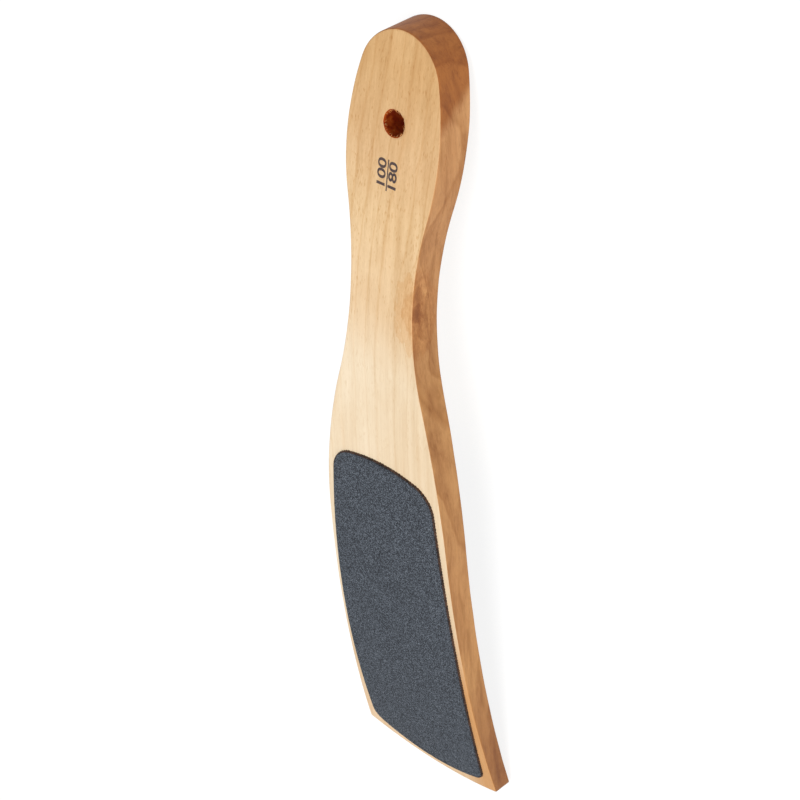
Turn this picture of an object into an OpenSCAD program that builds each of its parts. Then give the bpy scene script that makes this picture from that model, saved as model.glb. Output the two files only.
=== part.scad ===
// Curved wooden foot file with an abrasive sheet glued to each side of its blade.
// It lies on its hollow side: X runs from the head to the blade, Y across and Z up.
// The plan is a chain of arcs that meet at tangents, and both faces are one long bow.

/* [Overall] */
// Length from the tip of the head to the middle of the blade's end
overall_length = 250; // [220:1:280]

/* [Head] */
// Radius of the rounded tip
head_tip_radius = 14.1; // [12:0.1:16]
// Radius of the head's two long sides
head_side_radius = 74; // [65:1:85]
// Distance of the hanging hole from the tip
hole_position = 24.3; // [20:0.1:26]
// Diameter of the hanging hole
hole_diameter = 7; // [4:0.1:9]

/* [Waist] */
// Distance of the narrowest place from the tip
waist_position = 72; // [68:0.5:80]
// Width at the narrowest place
waist_width = 23; // [20:0.1:27]
// Radius of the hollow sides of the waist
waist_radius = 110; // [90:1:130]

/* [Blade] */
// Radius of the shoulders between the waist and the blade
shoulder_radius = 217; // [150:1:240]
// Width of the blade where its sides meet the overall length
blade_width = 53.8; // [48:0.1:60]
// Angle at which each side of the blade widens towards the end
blade_flare = 2.2; // [1:0.1:3]
// Radius of the blade's rounded end
blade_end_radius = 95; // [70:1:150]

/* [Bow and thickness] */
// Length of the straight stretch at the head
straight_length = 30; // [28:1:40]
// Radius of the hollow face
bow_radius = 481; // [400:0.5:700]
// Thickness at the tip of the head
head_thickness = 11.5; // [10:0.1:14]
// Thickness at the blade's end
blade_thickness = 5.9; // [5:0.1:8]

/* [Abrasive sheets] */
// Distance from the tip of the head to the top of the sheets
sheet_start = 126.2; // [120:0.1:150]
// Bare wood between the sheets and the blade's end
end_margin = 3; // [1:0.1:4]
// Bare wood beside the sheets where they are widest
side_margin = 2.3; // [1:0.1:4]
// Distance from the tip of the head to the sheets' widest place
sheet_widest = 216; // [195:1:220]
// Radius of the sheets' long sides
sheet_side_radius = 830; // [600:10:1000]
// Radius of the sheets' top and bottom edges
sheet_end_radius = 52; // [48:1:60]
// Length of the straight middle of the bottom edge, which steadies the file on a table
straight_edge_length = 6; // [3:0.5:10]
// Radius of the sheets' two corners towards the waist
top_corner_radius = 9; // [5:0.5:10]
// Radius of the sheets' two corners at the blade's end
bottom_corner_radius = 5; // [3:0.5:8]
// Thickness of the glue film
film_thickness = 0.15; // [0.1:0.05:0.3]
// Thickness of the backing paper
backing_thickness = 0.4; // [0.3:0.05:0.6]
// Thickness of the grit coat
grit_thickness = 0.35; // [0.2:0.05:0.5]

/* [Hidden] */
$fn = 360;

// How far a cutting shape runs past what it cuts
overrun = 3;
// Finest step of a cut that neighbouring stretches share, and of a derived radius
fine_step = 0.001;
// Hairline between the glue and the wood, so that the two solids never overlap
glue_clearance = 0.02;
// Height and width that clear the whole file
clear_height = overall_length / 2;
clear_width = 2 * blade_width;

// Colours
wood_color = [0.87, 0.70, 0.47];
film_color = [0.36, 0.25, 0.17];
paper_color = [0.27, 0.22, 0.19];
grit_color = [0.33, 0.36, 0.40];

// Plan: arc centres on the +Y side's curve, measured from the tip of the head
tip_centre = [head_tip_radius, 0];
waist_centre = [waist_position, waist_width / 2 + waist_radius];
head_side_centre = meeting_point(
    tip_centre, head_side_radius - head_tip_radius,
    waist_centre, head_side_radius + waist_radius, -1);
flank_direction = [cos(blade_flare), sin(blade_flare)];
flank_normal = [-sin(blade_flare), cos(blade_flare)];
flank_end = [overall_length, blade_width / 2];
shoulder_centre = tangent_centre(
    flank_end - flank_normal * shoulder_radius, flank_direction,
    waist_centre, waist_radius + shoulder_radius);

// Plan: places where one curve hands over to the next
head_cut = cut_at(point_towards(tip_centre, 2 * tip_centre - head_side_centre, head_tip_radius));
neck_cut = cut_at(point_towards(head_side_centre, waist_centre, head_side_radius));
shoulder_cut = cut_at(point_towards(waist_centre, shoulder_centre, waist_radius));
flank_start = shoulder_centre + flank_normal * shoulder_radius;
flank_cut = cut_at(flank_start);

// Sheets: plan
sheet_end = overall_length - end_margin;
blade_half_at_widest = blade_width / 2 - (overall_length - sheet_widest) * tan(blade_flare);
sheet_side_centre = [sheet_widest, blade_half_at_widest - side_margin - sheet_side_radius];
sheet_top_centre = [sheet_start + sheet_end_radius, 0];
sheet_bottom_centre = [
    sheet_end - sqrt(pow(sheet_end_radius, 2) - pow(straight_edge_length / 2, 2)), 0];
top_corner_centre = meeting_point(
    sheet_top_centre, sheet_end_radius - top_corner_radius,
    sheet_side_centre, sheet_side_radius - top_corner_radius, -1);
bottom_corner_centre = meeting_point(
    sheet_bottom_centre, sheet_end_radius - bottom_corner_radius,
    sheet_side_centre, sheet_side_radius - bottom_corner_radius, 1);
top_cut = cut_at(point_towards(sheet_top_centre, top_corner_centre, sheet_end_radius));
top_side_cut = cut_at(point_towards(sheet_side_centre, top_corner_centre, sheet_side_radius));
bottom_side_cut = cut_at(point_towards(sheet_side_centre, bottom_corner_centre, sheet_side_radius));
bottom_cut = cut_at(point_towards(sheet_bottom_centre, bottom_corner_centre, sheet_end_radius));
sheet_thickness = film_thickness + backing_thickness + grit_thickness;

// Bow: the file touches the table at the head's tip and at the end of the lower sheet
table_sum = (pow(sheet_end, 2) + pow(straight_length, 2) + pow(bow_radius, 2)
    - pow(bow_radius - sheet_thickness, 2)) / (2 * sheet_end);
back_slope = atan2(bow_radius, straight_length)
    - acos(table_sum / norm([straight_length, bow_radius]));
front_slope = back_slope - atan((head_thickness - blade_thickness) / overall_length);
back_direction = [cos(back_slope), sin(back_slope)];
back_normal = [-sin(back_slope), cos(back_slope)];
front_direction = [cos(front_slope), sin(front_slope)];
front_normal = [-sin(front_slope), cos(front_slope)];

// Bow: hollow face, straight up to the joint
back_joint = back_direction * straight_length;
joint_cut = cut_at(back_joint);
back_centre = back_joint - back_normal * bow_radius;
back_end = [overall_length,
    back_centre.y + sqrt(pow(bow_radius, 2) - pow(overall_length - back_centre.x, 2))];

// Bow: marked face, whose arc ends one blade thickness from the hollow face
front_start = back_normal * head_thickness;
front_joint = front_start
    + front_direction * (back_joint.x - front_start.x) / front_direction.x;
front_end = point_towards(back_centre, back_end, bow_radius + blade_thickness);
front_rise = front_end - front_joint;
front_radius = fine(pow(norm(front_rise), 2) / (-2 * (front_rise * front_normal)));
front_centre = front_joint - front_normal * front_radius;

// Hole: where its axis leaves the marked face
hole_mouth = front_start
    + front_direction * (hole_position - front_start.x) / front_direction.x;

// Point at one distance from a and another from b; side is 1 left of the way from a to b
function meeting_point(a, from_a, b, from_b, side) =
    let (apart = norm(b - a),
         along = (b - a) / apart,
         across = [-along.y, along.x],
         step = (pow(from_a, 2) - pow(from_b, 2) + pow(apart, 2)) / (2 * apart))
    a + along * step + across * side * sqrt(pow(from_a, 2) - pow(step, 2));

// Last point on the line from start along direction that is one distance from centre
function tangent_centre(start, direction, centre, distance) =
    let (away = start - centre,
         step = away * direction)
    start + direction * (sqrt(pow(step, 2) - away * away + pow(distance, 2)) - step);

// Point at one distance from start, on the way to goal
function point_towards(start, goal, distance) =
    start + (goal - start) * distance / norm(goal - start);

// Size rounded to the finest step
function fine(size) = round(size / fine_step) * fine_step;

// Place of a cut through a point, rounded so that it is the same for both neighbours
function cut_at(point) = fine(point.x);

// The same point on the other side of the file
function mirrored(point) = [point.x, -point.y];

// Moves to a point in a coarse and a fine move, which keeps a long fraction exact
module exactly_at(point) {
    coarse_move = [fine(point.x), fine(point.y)];
    translate(coarse_move)
        translate(point - coarse_move)
            children();
}

// Disc around a plan or profile point
module disc(centre, radius) {
    exactly_at(centre)
        circle(r = radius);
}

// Everything under a straight line through a point
module under_line(point, direction) {
    reach = direction * overall_length;
    drop = [0, overall_length];
    exactly_at(point)
        polygon([-reach, reach, reach - drop, -reach - drop]);
}

// Overlap of a disc and its twin on the other side of the file
module lens(centre, radius) {
    intersection() {
        disc(centre, radius);
        disc(mirrored(centre), radius);
    }
}

// The part of a flat shape between two places along the file
module between(from, to) {
    intersection() {
        children();
        translate([from, -clear_width])
            square([to - from, 2 * clear_width]);
    }
}

// One stretch of a plan, made solid from just under the table to above the bow
module upright(from, to) {
    translate([0, 0, -overrun])
        linear_extrude(height = clear_height)
            between(from, to)
                children();
}

// One stretch of a side profile, made solid across the file
module across(from, to) {
    rotate([90, 0, 0])
        linear_extrude(height = clear_width, center = true)
            between(from, to)
                children();
}

// Both corner discs of a sheet with the band that joins them
module corner_band(corner_centre, radius) {
    disc(corner_centre, radius);
    disc(mirrored(corner_centre), radius);
    translate([corner_centre.x - radius, -corner_centre.y])
        square([2 * radius, 2 * corner_centre.y]);
}

// Band across the file with a hollow cut into each side
module hollowed_band(centre, radius) {
    difference() {
        translate([centre.x - radius, -centre.y])
            square([2 * radius, 2 * centre.y]);
        disc(centre, radius);
        disc(mirrored(centre), radius);
    }
}

// Wedge between the two straight flanks
module between_flanks() {
    intersection() {
        under_line(flank_start, flank_direction);
        mirror([0, 1])
            under_line(flank_start, flank_direction);
    }
}

// Outline of the wood made upright; each stretch ends where its arc meets the next
module wood_outline() {
    upright(0, head_cut)
        disc(tip_centre, head_tip_radius);
    upright(head_cut, neck_cut)
        lens(head_side_centre, head_side_radius);
    upright(neck_cut, shoulder_cut)
        hollowed_band(waist_centre, waist_radius);
    upright(shoulder_cut, flank_cut)
        lens(shoulder_centre, shoulder_radius);
    upright(flank_cut, overall_length)
        intersection() {
            between_flanks();
            disc([overall_length - blade_end_radius, 0], blade_end_radius);
        }
}

// Outline of both sheets made upright, with the same four rounded corners
module sheet_outline() {
    upright(sheet_start, top_cut)
        disc(sheet_top_centre, sheet_end_radius);
    upright(top_cut, top_side_cut)
        corner_band(top_corner_centre, top_corner_radius);
    upright(top_side_cut, bottom_side_cut)
        lens(sheet_side_centre, sheet_side_radius);
    upright(bottom_side_cut, bottom_cut)
        corner_band(bottom_corner_centre, bottom_corner_radius);
    upright(bottom_cut, sheet_end)
        disc(sheet_bottom_centre, sheet_end_radius);
}

// Slab between the straight stretches of the two faces
module straight_slab() {
    difference() {
        under_line(front_joint, front_direction);
        under_line(back_joint, back_direction);
    }
}

// Side profile of the wood made solid: a straight slab at the head, then the bow
module wood_bow() {
    across(-overrun, joint_cut)
        straight_slab();
    across(joint_cut, overall_length + overrun)
        difference() {
            disc(front_centre, front_radius);
            disc(back_centre, bow_radius);
        }
}

// The origin is on the table under the middle of the length
module in_place() {
    translate([-overall_length / 2, 0, 0])
        children();
}

// Hanging hole, square to the marked face
module hanging_hole() {
    translate([hole_mouth.x, 0, hole_mouth.y])
        rotate([0, -front_slope, 0])
            cylinder(d = hole_diameter, h = 2 * (head_thickness + overrun), center = true);
}

// One layer of a sheet, between two radii around the centre of the bow
module sheet_layer(centre, inner_radius, outer_radius) {
    in_place()
        intersection() {
            sheet_outline();
            across(joint_cut, overall_length)
                difference() {
                    disc(centre, outer_radius);
                    disc(centre, inner_radius);
                }
        }
}

// Layer of the sheet on the marked face, by its depths above the wood
module front_layer(from, to) {
    sheet_layer(front_centre, front_radius + from, front_radius + to);
}

// Layer of the sheet in the hollow face, by its depths below the wood
module back_layer(from, to) {
    sheet_layer(back_centre, bow_radius - to, bow_radius - from);
}

module wooden_body() {
    color(wood_color)
        in_place()
            difference() {
                intersection() {
                    wood_outline();
                    wood_bow();
                }
                hanging_hole();
            }
}

module front_glue_film() {
    color(film_color)
        front_layer(glue_clearance, film_thickness);
}

module front_backing_paper() {
    color(paper_color)
        front_layer(film_thickness, film_thickness + backing_thickness);
}

module front_grit_coat() {
    color(grit_color)
        front_layer(film_thickness + backing_thickness, sheet_thickness);
}

module back_glue_film() {
    color(film_color)
        back_layer(glue_clearance, film_thickness);
}

module back_backing_paper() {
    color(paper_color)
        back_layer(film_thickness, film_thickness + backing_thickness);
}

module back_grit_coat() {
    color(grit_color)
        back_layer(film_thickness + backing_thickness, sheet_thickness);
}

wooden_body();
front_glue_film();
front_backing_paper();
front_grit_coat();
back_glue_film();
back_backing_paper();
back_grit_coat();
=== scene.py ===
# Curved wooden foot file: the looks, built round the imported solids.
# Everything stands in the part's own frame: X from head to blade, Y across, Z up.
import math

import bmesh
import bpy
from mathutils import Matrix, Vector, noise


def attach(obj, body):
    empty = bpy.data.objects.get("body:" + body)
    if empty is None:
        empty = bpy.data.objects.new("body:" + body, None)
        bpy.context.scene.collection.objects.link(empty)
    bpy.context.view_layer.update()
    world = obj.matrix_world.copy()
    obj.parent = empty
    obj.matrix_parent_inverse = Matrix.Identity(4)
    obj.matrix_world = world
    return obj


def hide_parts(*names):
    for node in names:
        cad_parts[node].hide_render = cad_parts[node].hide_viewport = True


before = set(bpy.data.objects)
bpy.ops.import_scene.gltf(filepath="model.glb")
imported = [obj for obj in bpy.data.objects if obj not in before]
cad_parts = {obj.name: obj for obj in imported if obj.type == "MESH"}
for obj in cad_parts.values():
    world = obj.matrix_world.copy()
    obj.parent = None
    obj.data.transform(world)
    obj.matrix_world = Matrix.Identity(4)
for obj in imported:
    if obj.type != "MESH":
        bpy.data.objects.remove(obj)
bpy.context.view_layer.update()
mm = 0.001   # drawings below are in millimetres, meshes in metres
print("packed solids loaded")


# objects and meshes

def linked(name, data):
    # a new object in the scene
    made = bpy.data.objects.new(name, data)
    bpy.context.scene.collection.objects.link(made)
    return made


def meshed(name, form):
    # a finished bmesh as an object
    data = bpy.data.meshes.new(name)
    form.to_mesh(data)
    form.free()
    return linked(name, data)


def plainMesh(helper):
    # what an object shows, as a plain mesh; the object itself goes
    shown = helper.evaluated_get(bpy.context.evaluated_depsgraph_get())
    data = bpy.data.meshes.new_from_object(shown)
    bpy.data.objects.remove(helper)
    return data


def bridge(mesh, first, second, closed=False):
    # faces between two rows of vertices, three-sided where the rows share one
    made = []
    for i in range(len(first) if closed else len(first) - 1):
        j = (i + 1) % len(first)
        corners = dict.fromkeys((first[i], first[j], second[j], second[i]))
        made.append(mesh.faces.new(list(corners)))
    return made


# node trees

def fromScreen(*screen):
    # screen colour, 0 to 255, as the linear colour that a shader wants
    shares = [value / 255 for value in screen]
    return tuple(share / 12.92 if share <= 0.04045 else ((share + 0.055) / 1.055) ** 2.4
                 for share in shares)


def feed(tree, socket, value):
    # links a socket or sets its value
    if isinstance(value, bpy.types.NodeSocket):
        tree.links.new(value, socket)
    elif socket.type == "RGBA":
        socket.default_value = (*value, 1)
    else:
        socket.default_value = value


def addNode(tree, kind, settings=None, **inputs):
    # inputs are named with their spaces left out
    node = tree.nodes.new(kind)
    for key, value in (settings or {}).items():
        setattr(node, key, value)
    for key, value in inputs.items():
        socket = next(s for s in node.inputs if s.enabled and s.name.replace(" ", "") == key)
        feed(tree, socket, value)
    return node


def outOf(node, name=None):
    return next(s for s in node.outputs if s.enabled and name in (None, s.name))


def calc(tree, operation, *values, kind="ShaderNodeMath"):
    node = addNode(tree, kind, {"operation": operation})
    for socket, value in zip(node.inputs, values):
        feed(tree, socket, value)
    return outOf(node)


def calcVector(tree, operation, *values):
    return calc(tree, operation, *values, kind="ShaderNodeVectorMath")


def eased(tree, value, start, stop):
    # 0 at start and 1 at stop, with soft ends
    return outOf(addNode(tree, "ShaderNodeMapRange", {"interpolation_type": "SMOOTHSTEP"},
                         Value=value, FromMin=start, FromMax=stop))


def ramp(tree, factor, stops):
    # stops are (position, value or colour)
    node = tree.nodes.new("ShaderNodeValToRGB")
    band = node.color_ramp
    while len(band.elements) < len(stops):
        band.elements.new(0.5)
    for element, (place, value) in zip(band.elements, stops):
        element.position = place
        element.color = (*value, 1) if isinstance(value, tuple) else (value, value, value, 1)
    tree.links.new(factor, node.inputs[0])
    return node.outputs[0]


def mixColour(tree, factor, first, second, blend="MIX"):
    return outOf(addNode(tree, "ShaderNodeMix", {"data_type": "RGBA", "blend_type": blend},
                         Factor=factor, A=first, B=second))


def times(tree, base, tone):
    return mixColour(tree, 1.0, base, tone, "MULTIPLY")


def shaded(tree, base, amount, tone):
    # amount says how far the tone is laid over the base
    return mixColour(tree, amount, base, times(tree, base, tone))


def cloudy(tree, place, scale, detail=2.0, roughness=0.5, distortion=0.0, shift=(0, 0, 0)):
    # noise over a place; a scale of three numbers stretches it
    if isinstance(scale, tuple):
        place = outOf(addNode(tree, "ShaderNodeMapping", Vector=place, Scale=scale, Location=shift))
        scale = 1.0
    return outOf(addNode(tree, "ShaderNodeTexNoise", Vector=place, Scale=scale, Detail=detail,
                         Roughness=roughness, Distortion=distortion), "Fac")


def newTree(name, treeKind, inputs, outputs):
    # a node group with its two ends; inputs are (name, socket type, value)
    tree = bpy.data.node_groups.new(name, treeKind)
    for label, kind, value in inputs:
        socket = tree.interface.new_socket(label, in_out="INPUT", socket_type=kind)
        if value is not None:
            socket.default_value = value
    for label, kind in outputs:
        tree.interface.new_socket(label, in_out="OUTPUT", socket_type=kind)
    return tree, tree.nodes.new("NodeGroupInput"), tree.nodes.new("NodeGroupOutput")


def newMaterial(name):
    # a material with its tree, its shader and the place on the object
    material = bpy.data.materials.new(name)
    material.use_nodes = True
    tree = material.node_tree
    tree.nodes.clear()
    shader = tree.nodes.new("ShaderNodeBsdfPrincipled")
    output = tree.nodes.new("ShaderNodeOutputMaterial")
    tree.links.new(shader.outputs[0], output.inputs[0])
    return material, tree, shader, outOf(addNode(tree, "ShaderNodeTexCoord"), "Object")


def addBump(tree, shader, height, strength, distance):
    bump = addNode(tree, "ShaderNodeBump", Height=height, Strength=strength, Distance=distance)
    tree.links.new(bump.outputs[0], shader.inputs["Normal"])


def splitByRay(tree, outputKind, plain, shown, rayNames):
    # camera rays and the rays that are named see shown, and all others see plain
    rays = tree.nodes.new("ShaderNodeLightPath")
    seen = rays.outputs["Is Camera Ray"]
    for name in rayNames:
        seen = calc(tree, "MAXIMUM", seen, rays.outputs[name])
    mix = tree.nodes.new("ShaderNodeMixShader")
    for socket, value in zip(mix.inputs, (seen, plain.outputs[0], shown.outputs[0])):
        tree.links.new(value, socket)
    output = tree.nodes.new(outputKind)
    tree.links.new(mix.outputs[0], output.inputs[0])


# camera, floor and lamps

cameraSetup = {
    "place": (-0.369916, 0.373443, 0.395754),
    "right": (0.025526, 0.723026, -0.690349),
    "down": (0.825105, 0.374651, 0.422893),
    "lens": 103.955,
    "shiftX": 0.00216,
    "shiftY": 0.03685,
}

studio = {
    "worldStrength": 0.38,
    "whiteStrength": 1.0,            # what the camera sees past the floor
    # name, place, power and width of each lamp
    "lamps": (("key", (-0.15, 0.35, 1.45), 14.5, 1.1),
              ("fill", (0.3, 1.5, 0.8), 4.2, 1.2)),
    "floorWidth": 6,
    "floorDrop": 0.00002,            # keeps the floor clear of what stands on it
    "floorColour": (0.80, 0.80, 0.79),
    "floorShade": (0.22, 0.22, 0.22),   # what the camera sees of the shadow
    "floorGlow": 0.86,
}


def placeCamera():
    right = Vector(cameraSetup["right"]).normalized()
    down = Vector(cameraSetup["down"])
    up = -(down - down.project(right)).normalized()
    turn = Matrix((right, up, right.cross(up))).transposed().to_4x4()
    data = bpy.data.cameras.new("camera")
    data.lens = cameraSetup["lens"]
    data.shift_x = cameraSetup["shiftX"]
    data.shift_y = cameraSetup["shiftY"]
    camera = linked("camera", data)
    camera.matrix_world = Matrix.Translation(cameraSetup["place"]) @ turn
    bpy.context.scene.camera = camera


def addLamp(name, place, power, width):
    data = bpy.data.lights.new(name, "AREA")
    data.shape = "DISK"
    data.size = width
    data.energy = power
    lamp = linked(name, data)
    lamp.location = place
    lamp.rotation_euler = (-Vector(place)).to_track_quat("-Z", "Y").to_euler()


def makeWorld():
    world = bpy.data.worlds.new("studio")
    bpy.context.scene.world = world
    world.use_nodes = True
    tree = world.node_tree
    tree.nodes.clear()
    soft, white = (addNode(tree, "ShaderNodeBackground", Color=(1, 1, 1), Strength=studio[key])
                   for key in ("worldStrength", "whiteStrength"))
    splitByRay(tree, "ShaderNodeOutputWorld", soft, white, ["Is Transmission Ray"])


def makeFloorMaterial():
    # lights the object as a pale floor does, and shows as white with a faint shadow
    material = bpy.data.materials.new("pale_floor")
    material.use_nodes = True
    tree = material.node_tree
    tree.nodes.clear()
    lit = addNode(tree, "ShaderNodeBsdfDiffuse", Color=studio["floorColour"])
    shade = addNode(tree, "ShaderNodeBsdfDiffuse", Color=studio["floorShade"])
    glow = addNode(tree, "ShaderNodeEmission", Strength=studio["floorGlow"])
    bright = tree.nodes.new("ShaderNodeAddShader")
    tree.links.new(shade.outputs[0], bright.inputs[0])
    tree.links.new(glow.outputs[0], bright.inputs[1])
    splitByRay(tree, "ShaderNodeOutputMaterial", lit, bright,
               ["Is Glossy Ray", "Is Transmission Ray"])
    return material


def makeFloor():
    half = studio["floorWidth"] / 2
    mesh = bmesh.new()
    corners = ((-half, -half), (half, -half), (half, half), (-half, half))
    mesh.faces.new([mesh.verts.new((x, y, 0)) for x, y in corners])
    floor = meshed("floor", mesh)
    floor.location.z = -studio["floorDrop"]
    floor.data.materials.append(makeFloorMaterial())


# drawing of the plan and the bow, in millimetres from the head's tip

drawing = {
    "length": 250,
    "tipRadius": 14.1,
    "headSideRadius": 74,
    "waistPlace": 72,
    "waistWidth": 23,
    "waistRadius": 110,
    "shoulderRadius": 217,
    "bladeWidth": 53.8,
    "bladeFlare": 2.2,        # degrees
    "endRadius": 95,
    "straightLength": 30,     # both faces are straight along the head
    "bowRadius": 481,         # of the hollow face
    "headThickness": 11.5,
    "bladeThickness": 5.9,
    "sheetEnd": 247,
    "sheetThickness": 0.9,
}


def meetingPoint(first, fromFirst, second, fromSecond, side):
    # point at given distances from two others
    a, b = Vector(first), Vector(second)
    along = (b - a).normalized()
    apart = (b - a).length
    step = (fromFirst ** 2 - fromSecond ** 2 + apart ** 2) / (2 * apart)
    across = Vector((-along.y, along.x))
    return a + along * step + across * side * math.sqrt(fromFirst ** 2 - step ** 2)


def lastPointOnLine(start, direction, centre, distance):
    # where the line leaves the circle round centre
    away = start - centre
    step = away.dot(direction)
    return start + direction * (math.sqrt(step ** 2 - away.length_squared + distance ** 2) - step)


def angleTo(centre, goal):
    return math.atan2(goal[1] - centre[1], goal[0] - centre[0])


def moved(point, slope, along, out):
    # a side-view point moved along a face of that slope, and square out from it
    return (point[0] + along * math.cos(slope) - out * math.sin(slope),
            point[1] + along * math.sin(slope) + out * math.cos(slope))


def sideView():
    # both faces, of a file that stands on the head's tip and the end of the lower sheet
    d = drawing
    radius, end = d["bowRadius"], d["sheetEnd"]
    lean = (end ** 2 + d["straightLength"] ** 2 + radius ** 2
            - (radius - d["sheetThickness"]) ** 2) / (2 * end)
    slope = (math.atan2(radius, d["straightLength"])
             - math.acos(lean / math.hypot(d["straightLength"], radius)))
    joint = moved((0, 0), slope, d["straightLength"], 0)
    centre = moved(joint, slope, 0, -radius)
    back = {"name": "back", "side": -1, "slope": slope, "joint": joint,
            "centre": centre, "radius": radius}

    # the marked face starts one head thickness up and ends one blade thickness out
    start = moved((0, 0), slope, 0, d["headThickness"])
    slope -= math.atan((d["headThickness"] - d["bladeThickness"]) / d["length"])
    turn = math.asin((d["length"] - centre[0]) / radius)
    reach = radius + d["bladeThickness"]
    stop = (centre[0] + reach * math.sin(turn), centre[1] + reach * math.cos(turn))
    joint = moved(start, slope, (joint[0] - start[0]) / math.cos(slope), 0)
    run, rise = stop[0] - joint[0], stop[1] - joint[1]
    drop = run * math.sin(slope) - rise * math.cos(slope)
    radius = round((run ** 2 + rise ** 2) / (2 * drop), 3)
    front = {"name": "front", "side": 1, "slope": slope, "joint": joint,
             "centre": moved(joint, slope, 0, -radius), "radius": radius}
    return front, back


def heightOf(face, along, lift=0):
    # height of a face, or of a layer that lies lift above its arc
    if along < face["joint"][0]:
        return face["joint"][1] + (along - face["joint"][0]) * math.tan(face["slope"])
    centre = face["centre"]
    return centre[1] + math.sqrt((face["radius"] + lift) ** 2 - (along - centre[0]) ** 2)


def toMetres(along, across, height):
    # a place in the drawing, in the part's own frame
    return ((along - drawing["length"] / 2) * mm, across * mm, height * mm)


def arc(centre, radius, start, stop, inwards=1):
    # one stretch of an outline; inwards is -1 where the arc is hollow
    return {"centre": Vector(centre), "radius": radius, "start": start, "stop": stop,
            "inwards": inwards}


def straight(start, stop, normal):
    return {"from": Vector(start), "to": Vector(stop), "normal": Vector(normal)}


def stretchLength(stretch):
    if "radius" in stretch:
        return stretch["radius"] * abs(stretch["stop"] - stretch["start"])
    return (stretch["to"] - stretch["from"]).length


def outline(stretches, spacing, inset):
    # points of half an outline, moved inwards by inset(length run so far)
    points = []
    run = 0
    for number, stretch in enumerate(stretches):
        length = stretchLength(stretch)
        count = max(2, math.ceil(length / spacing))
        last = number == len(stretches) - 1
        for step in range(count + 1 if last else count):
            share = step / count
            here = inset(run + share * length)
            if "radius" in stretch:
                angle = stretch["start"] + share * (stretch["stop"] - stretch["start"])
                way = Vector((math.cos(angle), math.sin(angle)))
                points.append(stretch["centre"]
                              + way * (stretch["radius"] - here * stretch["inwards"]))
            else:
                point = stretch["from"].lerp(stretch["to"], share)
                points.append(point - stretch["normal"] * here)
        run += length
    return points


def mirroredRing(mesh, spots):
    # vertices of half a ring and of its mirror image; both rows share their two ends
    last = len(spots) - 1
    near = [mesh.verts.new(toMetres(along, across if 0 < i < last else 0, height))
            for i, (along, across, height) in enumerate(spots)]
    far = [mesh.verts.new((v.co.x, -v.co.y, v.co.z)) for v in near[1:-1]]
    return near, [near[0], *far, near[-1]]


def wander(run, pitch, seed):
    # slow chance ups and downs along an outline
    return noise.noise(Vector((run / pitch, seed, 0)))


frontFace, backFace = sideView()


# the wooden body

woodShape = {
    "spacing": 0.9,           # step along the outline
    "edgeRound": 0.4,
    "edgeSteps": 4,
    "edgeUneven": 0.35,       # share by which the sanded edge wanders
    "unevenPitch": 9,
    "edgeSeeds": {"front": 3.3, "back": 8.1},
    "touchWidth": 0.35,       # how far the burnished edge reaches onto a face
    "cornerRound": 0.8,
    "holePlace": 24.3,
    "holeRadius": 3.5,
    "holePoints": 72,
    "holePatch": 2.5,         # how far the patch round the hole reaches past it
    "rimRound": 0.22,
    "rimTear": 1.08,          # how much wider than its rounding the rim is torn
    "tearPitch": 2.4,         # torn places round the rim
    "tearFrom": 0.08,         # less than this is not torn
    "rimSeeds": {"front": 1.7, "back": 5.2},
    "collar": 0.9,            # flat band round the hole's rim
    "boreRough": 0.05,
    "boreRoughPitch": (3, 7),    # bumps round the bore and down it
    "boreRings": 10,
    "boreStart": 0.03,        # share of the bore's depth that each rim takes
}


def woodStretches():
    d = drawing
    tip = Vector((d["tipRadius"], 0))
    waist = Vector((d["waistPlace"], d["waistWidth"] / 2 + d["waistRadius"]))
    headSide = meetingPoint(tip, d["headSideRadius"] - d["tipRadius"],
                            waist, d["headSideRadius"] + d["waistRadius"], -1)
    flare = math.radians(d["bladeFlare"])
    flank = Vector((math.cos(flare), math.sin(flare)))
    flankNormal = Vector((-math.sin(flare), math.cos(flare)))
    flankEnd = Vector((d["length"], d["bladeWidth"] / 2))
    shoulder = lastPointOnLine(flankEnd - flankNormal * d["shoulderRadius"], flank,
                               waist, d["waistRadius"] + d["shoulderRadius"])
    endCentre = Vector((d["length"] - d["endRadius"], 0))
    cornerRound = woodShape["cornerRound"]
    corner = lastPointOnLine(shoulder + flankNormal * (d["shoulderRadius"] - cornerRound), flank,
                             endCentre, d["endRadius"] - cornerRound)
    flankAngle = math.pi / 2 + flare
    handOver = angleTo(headSide, tip)
    neck = angleTo(headSide, waist)
    return [
        arc(tip, d["tipRadius"], math.pi, handOver),
        arc(headSide, d["headSideRadius"], handOver, neck),
        arc(waist, d["waistRadius"], neck + math.pi,
            angleTo(waist, shoulder) + 2 * math.pi, inwards=-1),
        arc(shoulder, d["shoulderRadius"], angleTo(shoulder, waist), flankAngle),
        straight(shoulder + flankNormal * d["shoulderRadius"],
                 corner + flankNormal * cornerRound, flankNormal),
        arc(corner, cornerRound, flankAngle, angleTo(endCentre, corner)),
        arc(endCentre, d["endRadius"], angleTo(endCentre, corner), 0),
    ]


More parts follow.
